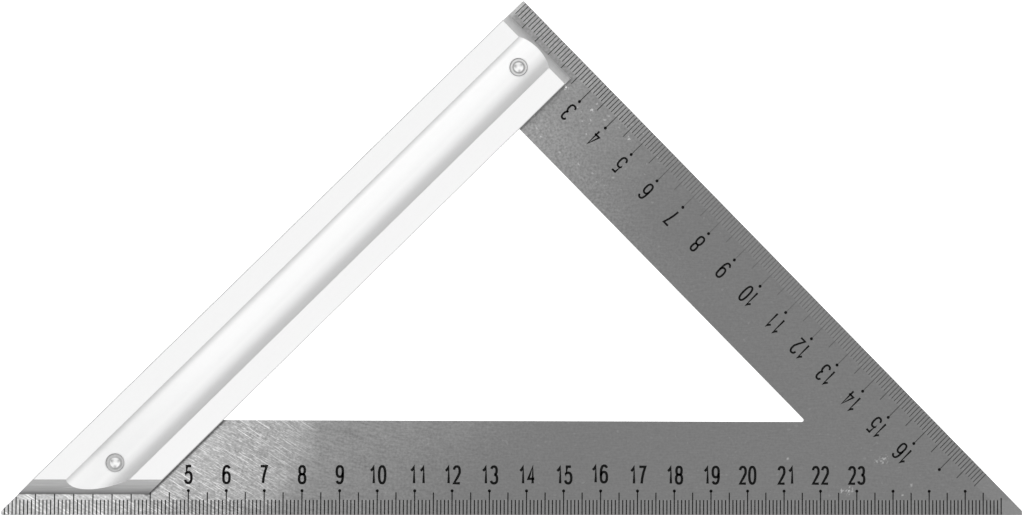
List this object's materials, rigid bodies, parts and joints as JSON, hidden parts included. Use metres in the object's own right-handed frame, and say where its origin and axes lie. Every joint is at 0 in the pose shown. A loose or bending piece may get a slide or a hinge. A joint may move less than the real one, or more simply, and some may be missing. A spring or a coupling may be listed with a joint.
{
  "type": "triangular square",
  "caption": "Flat triangular layout square with a steel blade, a grooved aluminium stock along one leg for a fence, and centimetre scales on the other two sides.",
  "frame": {"origin": "under the middle of the whole square, at the height of the back half of the stock, which it lies on", "axes": "+X along the long graduated edge, away from the stock's tip; +Y from the long edge to the right-angled corner; +Z out of the graduated face"},
  "size_m": [0.2748, 0.1384, 0.0092],
  "materials": {
    "blade": "satin grey stainless steel, fine scratches",
    "stock": "satin natural anodised extrusion, sawn ends",
    "rivet": "formed head, bright"
  },
  "bodies": {
    "root": {"blade": "blade", "stock_front": "stock", "stock_back": "stock", "rivet_lower": "rivet", "rivet_upper": "rivet"}
  },
  "joints": []
}
